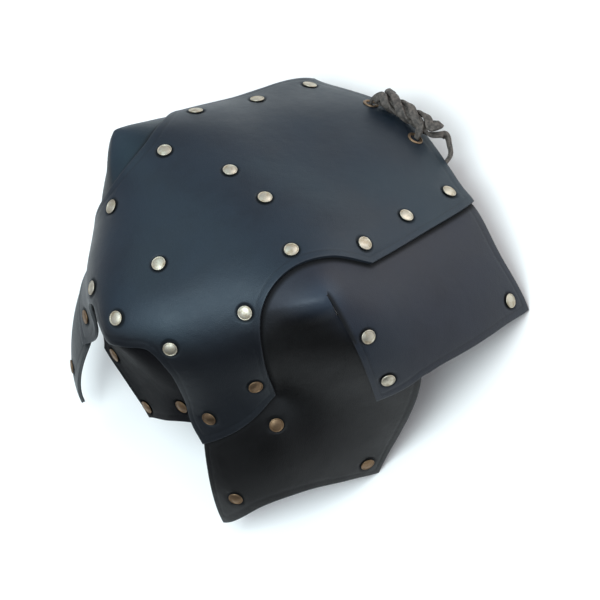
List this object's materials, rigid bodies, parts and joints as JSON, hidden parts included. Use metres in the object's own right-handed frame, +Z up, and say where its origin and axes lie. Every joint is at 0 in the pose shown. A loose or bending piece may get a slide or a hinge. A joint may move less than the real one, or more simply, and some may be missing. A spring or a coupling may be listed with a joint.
{
  "type": "pauldron",
  "caption": "Leather shoulder guard: a domed cap plate over a front and a rear skirt and an arm tab, riveted together, with a lace through two eyelets at the neck edge.",
  "frame": {"origin": "bottom centre of the bounding box, on the surface that the guard rests on", "axes": "+Z up from that surface; +X towards the neck side with the lace, -X towards the arm; -Y is the wearer's front, +Y the rear"},
  "size_m": [0.292, 0.2712, 0.1742],
  "materials": {
    "leather": "smooth dark blue-grey leather with a satin sheen",
    "brass": "antiqued pale brass, softly worn",
    "lace": "dull brown-grey leather thong"
  },
  "bodies": {
    "root": {"cap_plate": "leather", "skirt_front": "leather", "skirt_rear": "leather", "arm_tab": "leather", "rivet_neck_front": "brass", "rivet_neck_rear": "brass", "rivet_edge_front": "brass", "rivet_edge_rear": "brass", "rivet_arch_front": "brass", "rivet_arch_rear": "brass", "rivet_crown_front": "brass", "rivet_crown_rear": "brass", "rivet_ridge_front": "brass", "rivet_ridge_rear": "brass", "rivet_shoulder_front": "brass", "rivet_shoulder_rear": "brass", "rivet_arm_front": "brass", "rivet_arm_rear": "brass", "rivet_side_upper_front": "brass", "rivet_side_upper_rear": "brass", "rivet_side_lower_front": "brass", "rivet_side_lower_rear": "brass", "rivet_dart_upper_front": "brass", "rivet_dart_upper_rear": "brass", "rivet_dart_lower_front": "brass", "rivet_dart_lower_rear": "brass", "rivet_flap_corner_front": "brass", "rivet_flap_corner_rear": "brass", "rivet_skirt_corner_front": "brass", "rivet_skirt_corner_rear": "brass", "rivet_skirt_arm_front": "brass", "rivet_skirt_arm_rear": "brass", "rivet_skirt_middle_front": "brass", "rivet_skirt_middle_rear": "brass", "rivet_arm_tab_side_front": "brass", "rivet_arm_tab_side_rear": "brass", "rivet_upper_arm_middle": "brass", "rivet_cap_tip_middle": "brass", "rivet_arm_tab_tip_middle": "brass", "eyelet_front": "brass", "eyelet_rear": "brass", "lace": "lace"}
  },
  "joints": []
}
